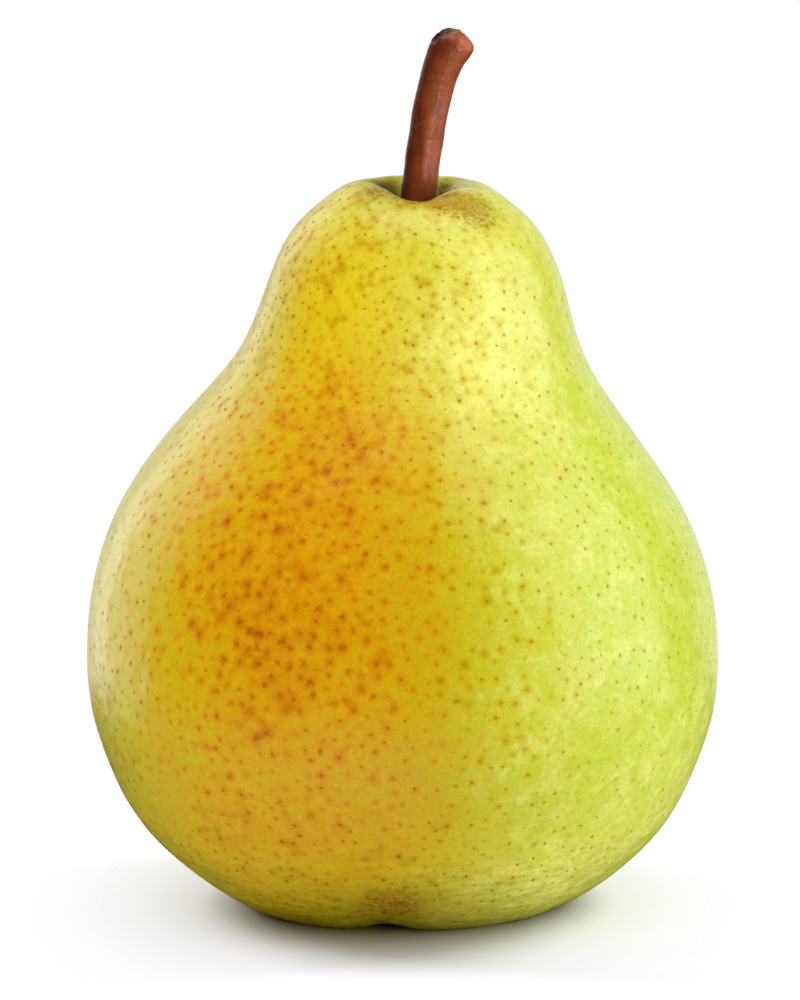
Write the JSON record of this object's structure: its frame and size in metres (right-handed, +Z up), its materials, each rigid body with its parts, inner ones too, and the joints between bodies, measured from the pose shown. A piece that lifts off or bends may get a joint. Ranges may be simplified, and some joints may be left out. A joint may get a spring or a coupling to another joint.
{
  "type": "pear",
  "caption": "Whole ripe pear with a pinched neck, a curved woody stem in a shallow cavity, and dried sepals in the basin underneath.",
  "frame": {"origin": "middle of the pear's box in plan, on the surface that it stands on", "axes": "+Z up from the blossom end to the stem; -Y is the front, where the skin blushes and the lowest dip of the stem cavity's rim faces; +X is to the right, the way the stem bends"},
  "size_m": [0.0704, 0.0696, 0.0977],
  "materials": {
    "skin": "satin, waxy, yellow-green with a golden and orange blush and fine brown dots",
    "stem_bark": "smooth reddish-brown bark, satin",
    "calyx": "dry, matte, dark brown"
  },
  "bodies": {
    "root": {"fruit": "skin", "stem": "stem_bark", "sepal_1": "calyx", "sepal_2": "calyx", "sepal_3": "calyx", "sepal_4": "calyx", "sepal_5": "calyx", "stamen_tuft": "calyx"}
  },
  "joints": []
}
